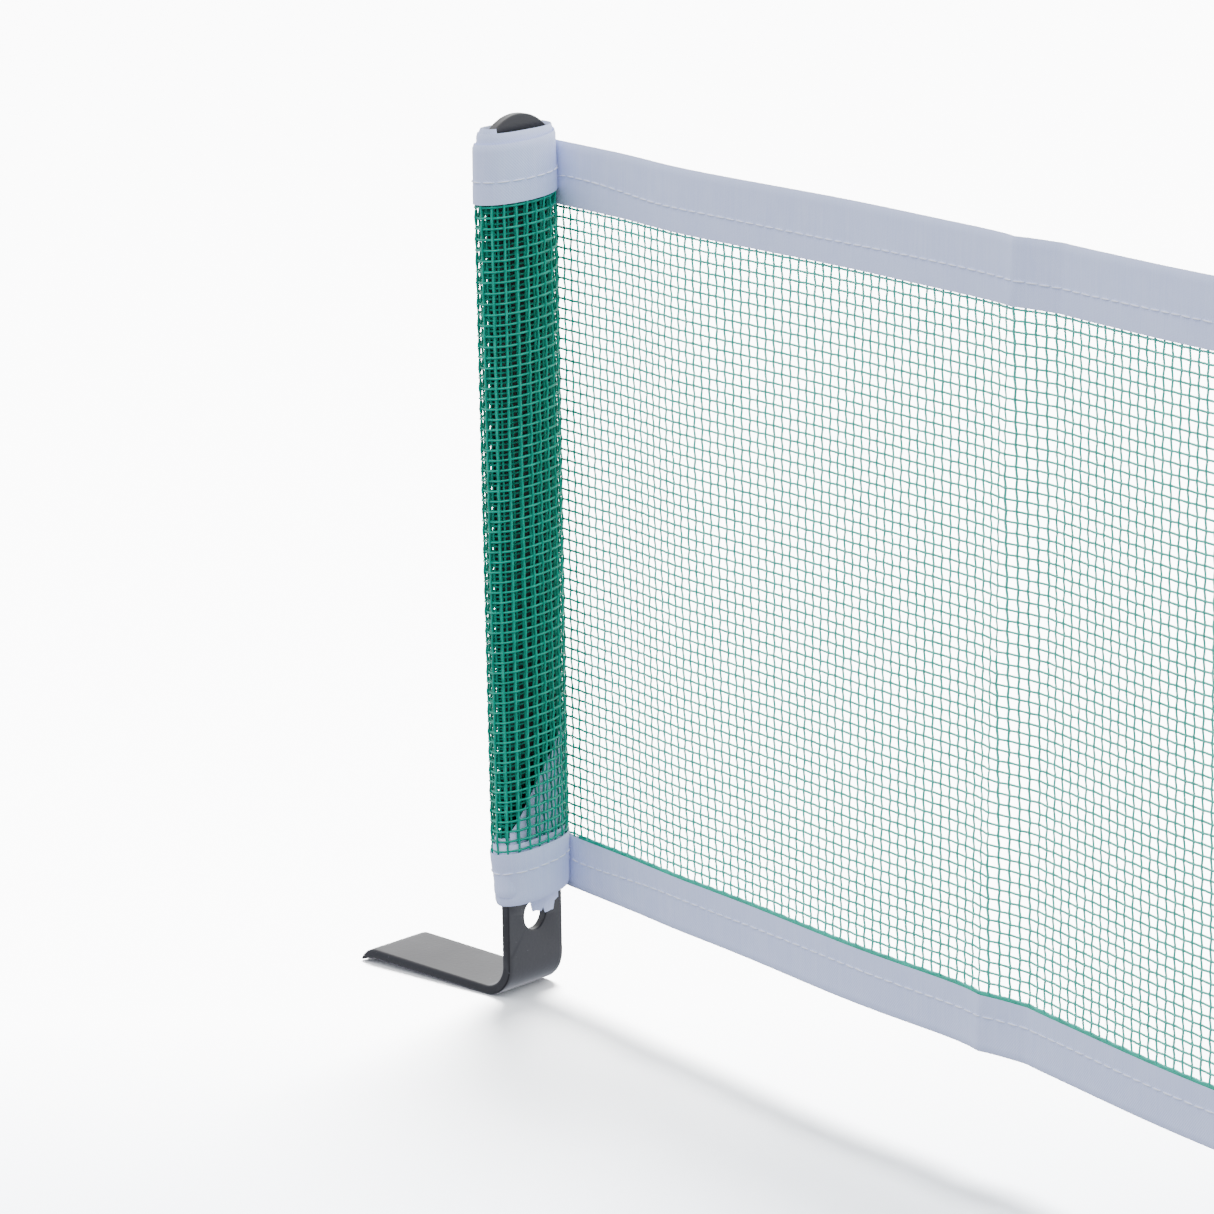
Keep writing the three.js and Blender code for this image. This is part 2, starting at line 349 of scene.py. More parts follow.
lip_reach = LIP_RADIUS * math.sin(LIP_TURN)
foot_straight = FOOT_LENGTH - BEND_OUTSIDE - lip_reach
FOOT_SLOPE = math.atan2(LIP_DROP, foot_straight)
bend_angle = math.pi / 2 + FOOT_SLOPE
bend_length = (BEND_INSIDE + STRIP_THICKNESS / 2) * bend_angle
lip_length = (LIP_RADIUS - STRIP_THICKNESS / 2) * LIP_TURN
strip_length = POST_TOP - BEND_OUTSIDE + bend_length + foot_straight + lip_length
print(f"strip length {1000 * strip_length:.0f} mm")


# %% Cut the flat strip, standing on edge in the plane of the upright
def draw_out(bm, edges, distances):
    """Extrudes a row of edges downwards (negative) or upwards, one step for each distance."""
    for distance in distances:
        made = bmesh.ops.extrude_edge_only(bm, edges=edges)["geom"]
        corners = [part for part in made if isinstance(part, bmesh.types.BMVert)]
        bmesh.ops.translate(bm, verts=corners, vec=(0, 0, distance))
        edges = [part for part in made if isinstance(part, bmesh.types.BMEdge)
                 and all(corner in corners for corner in part.verts)]
    return edges


def flat_strip():
    bm = bmesh.new()
    standing = Matrix.Translation((0, 0, HOLE_HEIGHT)) @ Matrix.Rotation(math.pi / 2, 4, "Y")
    bmesh.ops.create_grid(bm, x_segments=HOLE_SIDES // 4, y_segments=HOLE_SIDES // 4,
                          size=HALF_WIDTH, matrix=standing)
    inner = [face for face in bm.faces]
    rim = [edge for edge in bm.edges if edge.is_boundary]
    bmesh.ops.delete(bm, geom=inner, context="FACES_KEEP_BOUNDARY")
    start = Matrix.Rotation(math.pi / 4, 4, "Z")
    hole = bmesh.ops.create_circle(bm, segments=HOLE_SIDES, radius=HOLE_RADIUS, matrix=standing @ start)
    hole_edges = [edge for edge in bm.edges if all(corner in hole["verts"] for corner in edge.verts)]
    bmesh.ops.bridge_loops(bm, edges=rim + hole_edges)
    low, high = HOLE_HEIGHT - HALF_WIDTH, HOLE_HEIGHT + HALF_WIDTH
    lower = [edge for edge in rim if all(abs(corner.co.z - low) < 1e-6 for corner in edge.verts)]
    upper = [edge for edge in rim if all(abs(corner.co.z - high) < 1e-6 for corner in edge.verts)]
    to_bend = low - BEND_OUTSIDE
    steps = [-to_bend] if to_bend > 1e-6 else []
    steps += [-bend_length / BEND_STEPS] * BEND_STEPS
    steps += [-foot_straight / 6] * 6 + [-lip_length / LIP_STEPS] * LIP_STEPS
    draw_out(bm, lower, steps)
    shoulder = POST_TOP - TOP_RADIUS + math.sqrt(TOP_RADIUS ** 2 - HALF_WIDTH ** 2)
    top_row = draw_out(bm, upper, [(shoulder - high) / 5] * 5)
    return bm, top_row, shoulder


def round_the_top(bm, top_row, shoulder):
    """Closes the strip's top with an arched face."""
    right_corner = min((corner for edge in top_row for corner in edge.verts), key=lambda v: v.co.y)
    start = bmesh.ops.create_vert(bm, co=right_corner.co)["vert"][0]
    bmesh.ops.spin(bm, geom=[start], cent=(0, 0, POST_TOP - TOP_RADIUS), axis=(-1, 0, 0), dvec=(0, 0, 0),
                   angle=2 * math.asin(HALF_WIDTH / TOP_RADIUS), steps=24, use_duplicate=False)
    bmesh.ops.remove_doubles(bm, verts=bm.verts, dist=1e-6)
    arch = [edge for edge in bm.edges if not edge.link_faces or
            (edge.is_boundary and all(abs(corner.co.z - shoulder) < 1e-6 for corner in edge.verts))]
    bmesh.ops.contextual_create(bm, geom=arch)


# %% Bend a flat strip point by point
def bent(place):
    """The place of a flat point after bending. X is the depth behind the outer face."""
    depth, width, height = -place.x, place.y, place.z
    travel = BEND_OUTSIDE - height
    if travel <= 0:
        return Vector((-depth, width, height))
    turned = min(travel / bend_length, 1) * bend_angle
    radius = BEND_OUTSIDE - depth
    centre = Vector((-BEND_OUTSIDE, 0, BEND_OUTSIDE))
    if travel <= bend_length:
        return centre + Vector((radius * math.cos(turned), width, -radius * math.sin(turned)))
    outward = Vector((-math.cos(FOOT_SLOPE), 0, math.sin(FOOT_SLOPE)))
    upward = Vector((math.sin(FOOT_SLOPE), 0, math.cos(FOOT_SLOPE)))
    along = travel - bend_length
    under = centre - upward * BEND_OUTSIDE + Vector((0, width, 0))
    if along <= foot_straight:
        return under + outward * along + upward * depth
    curl = (along - foot_straight) / lip_length * LIP_TURN
    thinned = 1 - LIP_THINNING * (curl / LIP_TURN) ** 3
    from_top = (STRIP_THICKNESS - depth) * thinned
    lip_centre = under + outward * foot_straight + upward * (STRIP_THICKNESS - LIP_RADIUS)
    return lip_centre + (outward * math.sin(curl) + upward * math.cos(curl)) * (LIP_RADIUS - from_top)


# %% Thicken, round the edges, bend and stand up the posts
def clamp_post():
    bm, top_row, shoulder = flat_strip()
    round_the_top(bm, top_row, shoulder)
    bmesh.ops.recalc_face_normals(bm, faces=bm.faces)
    if bm.faces[:][0].normal.x < 0:
        bmesh.ops.reverse_faces(bm, faces=bm.faces)
    bmesh.ops.solidify(bm, geom=bm.faces[:], thickness=STRIP_THICKNESS)
    lows = min(corner.co.x for corner in bm.verts)
    highs = max(corner.co.x for corner in bm.verts)
    bmesh.ops.translate(bm, verts=bm.verts, vec=(-highs, 0, 0))
    print(f"solid strip {1000 * (highs - lows):.2f} mm thick, {len(bm.faces)} faces")
    sharp = [edge for edge in bm.edges if len(edge.link_faces) == 2 and edge.calc_face_angle() > 1.0]
    bmesh.ops.bevel(bm, geom=sharp, offset=EDGE_ROUND, segments=3, profile=0.5,
                    affect="EDGES", material=-1, clamp_overlap=True)
    for corner in bm.verts:
        corner.co = bent(corner.co)
        corner.co.y -= LEAN * corner.co.z / POST_TOP
    bmesh.ops.translate(bm, verts=bm.verts, vec=(STRIP_THICKNESS / 2, 0, 0))
    bm.transform(to_left_end)
    return mesh_from(bm, "post")


left_post_mesh = clamp_post()
right_post_mesh = left_post_mesh.copy()
right_post_mesh.transform(half_turn)
for side, mesh in (("left", left_post_mesh), ("right", right_post_mesh)):
    finish_piece(f"{side}_post_strip", mesh, BLACK_PAINT, f"{side}_post",
                 [f"{side}_clamp_post"])
    mesh.set_sharp_from_angle(angle=math.radians(15))

# %% [markdown]
# ## The path of the cloth
# Seen from above, the net comes along its plane, touches the winding on its far side and goes
# round the post about two and a half times. Each turn is an oval that fits inside the last, and
# it climbs a little, because the net was never wound quite square. The path is worked out once,
# as a table of places along the cloth, and every wound piece is laid with it.

# %% Sizes of the winding
ROLL_HALF_DEPTH = 6.05 * MM  # of the cloth's middle, across the strip
sideways = ROLL_HALF_DEPTH * math.sin(POST_TURN)
ROLL_HALF_WIDTH = math.sqrt(post_middle.y ** 2 - sideways ** 2) / math.cos(POST_TURN)
TURN_WIDTH = 0.49 * MM  # how much narrower each turn is
TURN_DEPTH = 1.25 * MM
TIGHTEST = 2.0  # turns, after which the cloth lies against the strip's edges
TURNS = 2.63  # of tape
MESH_TURNS = 3.72  # of mesh, which goes on inside the last turn of tape
BOXINESS = 0.45  # how much squarer each turn is, as it settles against the strip
PATH_POINTS = 1800
MIDDLE = -post_middle.x  # from the post to the net's middle, along the cloth
JOIN = 4 * MM  # where the wound pieces end and the stretched ones begin


# %% Work out the table of places
def winding_table():
    start = math.atan2(ROLL_HALF_WIDTH * math.cos(POST_TURN), ROLL_HALF_DEPTH * math.sin(POST_TURN))
    turn = np.linspace(0, MESH_TURNS, PATH_POINTS)
    angle = start + 2 * math.pi * turn
    power = 2 / (2 + BOXINESS * turn)
    cosines, sines = np.cos(angle), np.sin(angle)
    half_depth = ROLL_HALF_DEPTH - TURN_DEPTH * turn
    half_width = ROLL_HALF_WIDTH - TURN_WIDTH * np.minimum(turn, TIGHTEST)
    depth = half_depth * np.sign(cosines) * np.abs(cosines) ** power
    width = half_width * np.sign(sines) * np.abs(sines) ** power
    cosine, sine = math.cos(POST_TURN), math.sin(POST_TURN)
    x = post_middle.x + depth * cosine - width * sine
    y = post_middle.y + depth * sine + width * cosine
    travelled = np.concatenate(([0], np.cumsum(np.hypot(np.diff(x), np.diff(y)))))
    return travelled, x, y, turn


travelled, path_x, path_y, path_turn = winding_table()
MESH_WOUND = travelled[-1]
WOUND = np.interp(TURNS, path_turn, travelled)
TOUCH = path_x[0] - post_middle.x  # where the net's plane touches the winding
print(f"{TURNS} turns hold {1000 * WOUND:.0f} mm of net")


# %% How the cloth strays from its path
BELLY = 1.0 * MM  # how much wider the near side of the winding is at its top
DRAWN_IN = 1.1 * MM  # how much tighter the lower edge is
LEAN_FROM = 6 * MM  # from the post, where the lean starts to fade
LEAN_REACH = 60 * MM
LIFT_TURNS = np.array((0, 0.5, 0.75, 1, 1.5, 2, 2.5, 3.8))
TOP_LIFTS = MM * np.array((0.6, 1.5, 2.1, 3.3, 3.7, 4.2, 4.6, 4.8))
BOTTOM_LIFTS = MM * np.array((-0.5, -1.4, 0.1, 1.3, 0.6, 2.4, 2.0, 4.2))
GATHERED = 1.0 * MM  # how much narrower the wound top tape is
GATHER_REACH = 30 * MM
SETTLE_REACH = 90 * MM  # from the winding to where the net has its own height


def eased(value):
    value = np.clip(value, 0, 1)
    return value * value * (3 - 2 * value)


def lifted(turn, height):
    """How much higher each part of the winding lies than the stretched net."""
    top = np.interp(turn, LIFT_TURNS, TOP_LIFTS)
    bottom = np.interp(turn, LIFT_TURNS, BOTTOM_LIFTS)
    share = (height - NET_LOW) / (NET_TOP - NET_LOW)
    gathered = np.interp(height, (TOP_TAPE_LOW - GATHER_REACH, TOP_TAPE_LOW, NET_TOP), (0, GATHERED, 0))
    return bottom + (top - bottom) * share + gathered * eased(turn / 0.25)


def leaned(x, y, z, loose):
    """The post and its winding lean a little. loose is 1 on the outermost turn, 0 inside it."""
    cosine, sine = math.cos(POST_TURN), math.sin(POST_TURN)
    end = np.where(x > 0, -1, 1)  # the right end is the left one turned round
    x, y = x * end, y * end
    across = -(x - post_middle.x) * sine + (y - post_middle.y) * cosine
    held = 1 - eased((x - post_middle.x - LEAN_FROM) / LEAN_REACH)
    near = eased(-across / ROLL_HALF_WIDTH)
    height = np.clip(z / POST_TOP, 0, 1)
    low = eased((BOTTOM_TAPE_HIGH - z) / (BOTTOM_TAPE_HIGH - NET_LOW))
    strays = (0.5 + 0.5 * loose) * BELLY * height - loose * DRAWN_IN * low
    shift = held * (LEAN * height + near * strays)
    return (x + shift * sine) * end, (y - shift * cosine) * end


# %% Lay flat cloth on the path
CALM = 30 * MM  # beside each fold, where the ripples start
CREASE_AT = 13 * MM  # past the net's middle, at the net's lower edge


def rippled(x, z):
    """How far the stretched net stands out of its plane."""
    inside = eased((FOLD - 4 * MM - np.abs(x)) / CALM)
    height = (z - NET_LOW) / (NET_TOP - NET_LOW)
    slow = 1.1 * np.sin(x / 0.026 + 1.2 * height + 0.4) + 0.5 * np.sin(x / 0.0125 - 2.0 * height)
    crease_at = CREASE_AT + 10 * MM * height
    crease = -1.6 * np.exp(-np.abs(x - crease_at) / (5 * MM))
    swell = 0.9 * np.exp(-np.abs(x - crease_at - 11 * MM) / (6 * MM))
    return MM * inside * (slow + crease + swell)


def lay(mesh, keep_map=True):
    """Moves flat cloth to its place. X is measured from the post, along the cloth."""
    flat = points_of(mesh)
    if keep_map:
        keep_flat_map(mesh, flat)
    along, depth, height = flat.T
    wound = np.clip(TOUCH - along, 0, MESH_WOUND)
    ahead = 0.05 * MM
    x = np.interp(wound, travelled, path_x)
    y = np.interp(wound, travelled, path_y)
    near = np.clip(wound - ahead, 0, MESH_WOUND)
    far = np.clip(wound + ahead, 0, MESH_WOUND)
    dx = np.interp(near, travelled, path_x) - np.interp(far, travelled, path_x)
    dy = np.interp(near, travelled, path_y) - np.interp(far, travelled, path_y)
    size = np.hypot(dx, dy)
    dx, dy = dx / size, dy / size
    free = along > TOUCH
    x = np.where(free, post_middle.x + along, x)
    y = np.where(free, 0, y)
    dx = np.where(free, 1, dx)
    dy = np.where(free, 0, dy)
    turn = np.interp(wound, travelled, path_turn)
    settled = 1 - eased((MIDDLE - np.abs(along - MIDDLE) - TOUCH) / SETTLE_REACH)
    z = height + settled * lifted(turn, height)
    out = rippled(x, height) * free
    loose = 1 - eased((turn - 0.95) / 0.3)
    x, y = leaned(x - dy * depth, y + dx * depth + out, z, loose)
    move_points(mesh, np.stack((x, y, z), axis=1))


# %% [markdown]
# ## Green thread
# The mesh is woven from thread coated in green plastic, which fuses where threads cross. The
# coating is a little glossy, and its colour varies in patches along each thread. The stretched
# net has light behind it, and its thread is painted a paler green than the thread of the winding:
# painted light, a lit copy of the same coated thread.

# %% Green coated thread
def coated_thread(name, dark, light):
    material, tree, shader = new_material(name)
    place = add_node(tree, "ShaderNodeTexCoord").outputs["Object"]
    patches = add_node(tree, "ShaderNodeTexNoise", {"Vector": place, "Scale": 420.0, "Detail": 3.0})
    green = colour_ramp(tree, patches.outputs["Fac"], ((0.3, dark), (0.7, light)))
    tree.links.new(green, shader.inputs["Base Color"])
    gloss = colour_ramp(tree, patches.outputs["Fac"], (
        (0.2, (0.3, 0.3, 0.3, 1)),
        (0.8, (0.5, 0.5, 0.5, 1)),
    ))
    tree.links.new(gloss, shader.inputs["Roughness"])
    shader.inputs["Specular IOR Level"].default_value = 0.25
    grain = add_node(tree, "ShaderNodeTexNoise", {"Vector": place, "Scale": 2600.0, "Detail": 2.0})
    bump = add_node(tree, "ShaderNodeBump", {
        "Height": grain.outputs["Fac"], "Strength": 0.3, "Distance": 0.0001,
    })
    tree.links.new(bump.outputs["Normal"], shader.inputs["Normal"])
    return material


GREEN_THREAD = coated_thread("green_coated_thread", (0.0, 0.27, 0.17, 1), (0.001, 0.41, 0.27, 1))
# painted light: the stretched net's thread is the same coated thread painted paler, for the light behind
# it
PAINTED_LIT_THREAD = coated_thread("green_thread_painted_lighter", (0.05, 0.46, 0.34, 1), (0.08, 0.60, 0.46, 1))

# %% [markdown]
# ## The open mesh
# One long thread is a ring of six points drawn out in steps, one for each crossing. An array of
# such threads makes all the rows, and another makes the columns. Rows and columns pass over and
# under each other in turn, as in a plain weave.

# %% Sizes of the mesh
COLUMN_PITCH = 2.38 * MM
ROW_PITCH = 2.03 * MM
THREAD_RADIUS = 0.225 * MM
FREE_THREAD_RADIUS = 0.22 * MM  # stretched thread is a little thinner
WEAVE_DEPTH = 0.13 * MM
HIDDEN_ROWS = 1  # rows inside each tape
ROWS = int((TOP_TAPE_LOW - BOTTOM_TAPE_HIGH) / ROW_PITCH) + 1 + 2 * HIDDEN_ROWS
FIRST_ROW = (TOP_TAPE_LOW + BOTTOM_TAPE_HIGH - (ROWS - 1) * ROW_PITCH) / 2


def column_at(number):
    """Columns are counted from the net's middle, which lies between two of them."""
    return MIDDLE + (number + 0.5) * COLUMN_PITCH


def drawn_thread(radius, direction, step, steps, sides=6):
    """One closed thread along X or Z, with a ring of points at each crossing."""
    bm = bmesh.new()
    turn = Matrix.Rotation(math.pi / 2, 4, "Y") if direction.x else Matrix.Identity(4)
    ring = bmesh.ops.create_circle(bm, cap_ends=False, segments=sides, radius=radius, matrix=turn)
    edges = list({edge for corner in ring["verts"] for edge in corner.link_edges})
    bmesh.ops.spin(bm, geom=ring["verts"] + edges, cent=(0, 0, 0), axis=(0, 0, 1),
                   dvec=direction * step, angle=0, steps=steps, use_duplicate=False)
    bmesh.ops.holes_fill(bm, edges=bm.edges[:], sides=sides)
    return mesh_from(bm, "thread")


def arrayed(mesh, count, offset):
    """The mesh repeated in a row, by an Array modifier that is applied."""
    holder = bpy.data.objects.new("array", mesh)
    bpy.context.scene.collection.objects.link(holder)
    array = holder.modifiers.new("array", "ARRAY")
    array.use_relative_offset = False
    array.use_constant_offset = True
    array.constant_offset_displace = offset
    array.count = count
    made = bpy.data.meshes.new_from_object(holder.evaluated_get(bpy.context.evaluated_depsgraph_get()))
    bpy.data.objects.remove(holder)
    bpy.data.meshes.remove(mesh)
    return made


def joined(name, meshes):
    bm = bmesh.new()
    for mesh in meshes:
        bm.from_mesh(mesh)
        bpy.data.meshes.remove(mesh)
    return mesh_from(bm, name)


# %% Weave a stretch of mesh between two columns
def weave(first_column, last_column, radius, last_thread=True):
    steps = last_column - first_column
    along = Vector((1, 0, 0))
    rows = arrayed(drawn_thread(radius, along, COLUMN_PITCH, steps), ROWS, (0, 0, ROW_PITCH))
    columns = arrayed(drawn_thread(radius, Vector((0, 0, 1)), ROW_PITCH, ROWS - 1),
                      steps + last_thread, (COLUMN_PITCH, 0, 0))
    for mesh, sign in ((rows, 1), (columns, -1)):
        flat = points_of(mesh)
        column = np.round(flat[:, 0] / COLUMN_PITCH) + first_column
        row = np.round(flat[:, 2] / ROW_PITCH)
        flat[:, 1] += sign * WEAVE_DEPTH * np.where((column + row) % 2, 1, -1)
        flat[:, 0] += column_at(first_column)
        flat[:, 2] += FIRST_ROW
        move_points(mesh, flat)
    return joined("weave", [rows, columns])


FREE_COLUMNS = int((MIDDLE - JOIN) / COLUMN_PITCH)
WOUND_COLUMNS = int((MIDDLE - TOUCH + MESH_WOUND) / COLUMN_PITCH) - FREE_COLUMNS
print(f"{ROWS} rows, {FREE_COLUMNS} free columns to a side, {WOUND_COLUMNS} wound")


BODIES = {"left": "left_winding", "right": "right_winding"}


def bend_at_fold(piece):
    """Bakes a stretched piece's placement into its mesh."""
    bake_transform(piece)


def both_windings(name, mesh, finish, node):
    """Finishes a laid mesh on the left post, and its copy, turned round, on the right one."""
    other = mesh.copy()
    other.transform(half_turn)
    return [finish_piece(f"{side}_{name}", shape, finish, BODIES[side], [f"{side}_{node}"])
            for side, shape in (("left", mesh), ("right", other))]


wound_mesh = weave(-FREE_COLUMNS - WOUND_COLUMNS, -FREE_COLUMNS, THREAD_RADIUS, last_thread=False)
lay(wound_mesh)
for piece in both_windings("wound_mesh_threads", wound_mesh, GREEN_THREAD, "wound_mesh"):
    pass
for side, first, last in (("left", -FREE_COLUMNS, 0), ("right", 0, FREE_COLUMNS - 1)):
    half = weave(first, last, FREE_THREAD_RADIUS, last_thread=side == "right")
    lay(half)
    piece = finish_piece(f"net_mesh_{side}_half", half, PAINTED_LIT_THREAD, None, ["net_mesh"])
    bend_at_fold(piece)

# %% [markdown]
# ## White cloth tape
# The net's edges are bound in woven tape, folded lengthwise over the mesh and sewn through. Its
# weave is a fine twill, which shows as slanting lines, and its threads vary a little in colour;
# a little painted shade also darkens the grooves between the ribs.
# The weave is a node group, since the tape and the twisted sewing thread both use it.

# %% Node group: twill weave
def twill_group():
    group = bpy.data.node_groups.new("twill_weave", "ShaderNodeTree")
    face = group.interface
    face.new_socket("Cloth", in_out="INPUT", socket_type="NodeSocketVector")
    face.new_socket("Ribs per metre", in_out="INPUT", socket_type="NodeSocketFloat")
    face.new_socket("Slant", in_out="INPUT", socket_type="NodeSocketFloat")
    face.new_socket("Height", in_out="OUTPUT", socket_type="NodeSocketFloat")
    face.new_socket("Tone", in_out="OUTPUT", socket_type="NodeSocketFloat")
    enter = group.nodes.new("NodeGroupInput")
    leave = group.nodes.new("NodeGroupOutput")
    cloth = add_node(group, "ShaderNodeSeparateXYZ", {"Vector": enter.outputs["Cloth"]})
    slanted = maths(group, "MULTIPLY", cloth.outputs["Y"], enter.outputs["Slant"])
    diagonal = maths(group, "ADD", cloth.outputs["X"], slanted)
    turns = maths(group, "MULTIPLY", diagonal, enter.outputs["Ribs per metre"])
    ribs = maths(group, "SINE", maths(group, "MULTIPLY", turns, 2 * math.pi))
    cross_turns = maths(group, "MULTIPLY", cloth.outputs["Y"], enter.outputs["Ribs per metre"])
    crossing = maths(group, "SINE", maths(group, "MULTIPLY", cross_turns, 4 * math.pi))
    height = maths(group, "ADD", ribs, maths(group, "MULTIPLY", crossing, 0.35))
    threads = add_node(group, "ShaderNodeMapping", {
        "Vector": enter.outputs["Cloth"], "Scale": (2400.0, 90.0, 1.0),
    })
    streaks = add_node(group, "ShaderNodeTexNoise", {
        "Vector": threads.outputs["Vector"], "Scale": 1.0, "Detail": 2.0,
    })
    clouds = add_node(group, "ShaderNodeTexNoise", {
        "Vector": enter.outputs["Cloth"], "Scale": 160.0, "Detail": 3.0,
    })
    mixed = maths(group, "ADD", maths(group, "MULTIPLY", streaks.outputs["Fac"], 0.55),
                  maths(group, "MULTIPLY", clouds.outputs["Fac"], 0.45))
    # painted shade: the tone is made a little darker in the grooves between the twill's ribs
    shaded = maths(group, "ADD", mixed, maths(group, "MULTIPLY", ribs, 0.025))
    group.links.new(height, leave.inputs["Height"])
    group.links.new(shaded, leave.inputs["Tone"])
    return group


TWILL = twill_group()


# %% Tape and sewing thread
def cloth_finish(name, dark, light, ribs, slant, depth, roughness):
    material, tree, shader = new_material(name)
    flat = add_node(tree, "ShaderNodeUVMap", uv_map="flat").outputs["UV"]
    weave = add_node(tree, "ShaderNodeGroup", node_tree=TWILL)
    tree.links.new(flat, weave.inputs["Cloth"])
    weave.inputs["Ribs per metre"].default_value = ribs
    weave.inputs["Slant"].default_value = slant
    white = colour_ramp(tree, weave.outputs["Tone"], ((0.3, dark), (0.7, light)))
    tree.links.new(white, shader.inputs["Base Color"])
    shader.inputs["Roughness"].default_value = roughness
    shader.inputs["Sheen Weight"].default_value = 0.15
    bump = add_node(tree, "ShaderNodeBump", {
        "Height": weave.outputs["Height"], "Strength": 0.22, "Distance": depth,
    })
    tree.links.new(bump.outputs["Normal"], shader.inputs["Normal"])
    return material


WHITE_TAPE = cloth_finish(
    "white_twill_tape", dark=(0.62, 0.69, 0.95, 1), light=(0.71, 0.77, 1.0, 1),
    ribs=1900.0, slant=0.8, depth=0.00005, roughness=0.8,
)
WHITE_THREAD = cloth_finish(
    "white_sewing_thread", dark=(0.78, 0.80, 0.90, 1), light=(0.90, 0.91, 0.97, 1),
    ribs=2600.0, slant=1.0, depth=0.00004, roughness=0.6,
)

# %% [markdown]
# ## The folded tapes
# A flat ribbon is made first, as thick as the cloth. Folding it moves each half to one side of
# the mesh: the further a point is from the ribbon's middle line, the lower it hangs. The seam
# pulls the two halves together between the stitches, which gives the small puckers.

# %% Sizes of the tapes
TOP_TAPE = NET_TOP - TOP_TAPE_LOW
BOTTOM_TAPE = BOTTOM_TAPE_HIGH - NET_LOW
CLOTH = 0.17 * MM
FOLD_HALF = 0.27 * MM  # from the mesh's middle to the tape's outside, near the fold
OPEN_HALF = 0.43 * MM  # the same at the open edge, where the mesh lies inside
FOLD_ROUND = 0.45 * MM
PUCKER = 0.09 * MM
SEAM_SHARE = 0.63  # of the tape's width, from the fold to the seam
SEAM_RISE = 0.10  # share of the width by which the seam strays beside the winding
RIBBON_STEP = 0.7 * MM
RIBBON_ROWS = 28
STITCH_PITCH = 2.8 * MM
STITCH_LENGTH = 2.7 * MM
STITCH_RADIUS = 0.17 * MM


def seam_below_fold(along, width):
    """The seam strays towards the middle of the tape where the net leaves the winding."""
    distance = MIDDLE - np.abs(along - MIDDLE)
    strayed = eased((distance + 3 * MM) / (7 * MM)) * (1 - eased((distance - 8 * MM) / (30 * MM)))
    return width * (SEAM_SHARE - SEAM_RISE * strayed) + 0.12 * MM * np.sin(along / 0.011)


def tape_half(below, along, width):
    """From the mesh's middle to the tape's outside, at a distance below the fold."""
    rounded = np.sqrt(1 - (1 - np.clip(below / FOLD_ROUND, 0, 1)) ** 2)
    half = FOLD_HALF + (OPEN_HALF - FOLD_HALF) * eased(below / width)
    pull = np.exp(-((below - seam_below_fold(along, width)) / (0.8 * MM)) ** 2)
    pull = pull * (0.75 + 0.25 * np.cos(2 * math.pi * along / STITCH_PITCH))
    return half * rounded - PUCKER * pull


# %% Fold a ribbon over the mesh's edge
def folded_tape(first, last, width, fold_height, downward):
    """downward is 1 for a tape that hangs from its fold and -1 for one that stands on it."""
    length = last - first
    bm = bmesh.new()
    columns = max(2, round(length / RIBBON_STEP))
    bmesh.ops.create_grid(bm, x_segments=columns, y_segments=RIBBON_ROWS, size=0.5)
    bmesh.ops.solidify(bm, geom=bm.faces[:], thickness=CLOTH)
    mesh = mesh_from(bm, "ribbon")
    ribbon = points_of(mesh)
    middle = (ribbon[:, 2].min() + ribbon[:, 2].max()) / 2
    inside = ribbon[:, 2] < middle
    along = first + (ribbon[:, 0] + 0.5) * length
    side = np.sign(np.round(ribbon[:, 1], 6))
    below = np.abs(ribbon[:, 1]) * 2 * width
    half = tape_half(below, along, width)
    drop = below + np.where(inside, CLOTH * np.clip(1 - below / FOLD_ROUND, 0, 1), 0)
    half = np.where(inside, np.maximum(half - CLOTH, 0), half)
    keep_flat_map(mesh, np.stack((along, half, ribbon[:, 1] * 2 * width), axis=1))
    move_points(mesh, np.stack((along, side * half, fold_height - downward * drop), axis=1))
    bm = bmesh.new()
    bm.from_mesh(mesh)
    bmesh.ops.recalc_face_normals(bm, faces=bm.faces)
    bm.to_mesh(mesh)
    bm.free()
    return mesh


# %% Sew a seam
def seam(first, last, width, fold_height, downward, seed):
    """Two rows of stitches, one on each face of the tape."""
    count = int((last - first) / STITCH_PITCH)
    pitch = (last - first) / count
    wander = np.random.default_rng(seed)
    made = []
    for face in (1, -1):
        bm = bmesh.new()
        along_x = Matrix.Rotation(math.pi / 2, 4, "Y")
        bmesh.ops.create_uvsphere(bm, u_segments=6, v_segments=5, radius=1, matrix=along_x)
        bmesh.ops.scale(bm, verts=bm.verts, vec=(STITCH_LENGTH / 2, STITCH_RADIUS, STITCH_RADIUS))
        mesh = arrayed(mesh_from(bm, "stitch"), count, (STITCH_PITCH, 0, 0))
        places = points_of(mesh)
        number = np.round(places[:, 0] / STITCH_PITCH).astype(int)
        within = places[:, 0] - number * STITCH_PITCH
        stretch = wander.uniform(0.86, 1.04, count)[number]
        tilt = wander.uniform(-0.05, 0.05, count)[number]
        along = first + (number + 0.5) * pitch + within * stretch
        below = seam_below_fold(along, width) + within * tilt - places[:, 2]
        depth = tape_half(below, along, width) + STITCH_RADIUS * 0.35
        arch = 0.5 * STITCH_RADIUS * (1 - (within / (STITCH_LENGTH / 2)) ** 2)
        outward = face * (depth + arch) + places[:, 1]
        move_points(mesh, np.stack((along, outward, fold_height - downward * below), axis=1))
        made.append(mesh)
    return joined("seam", made)


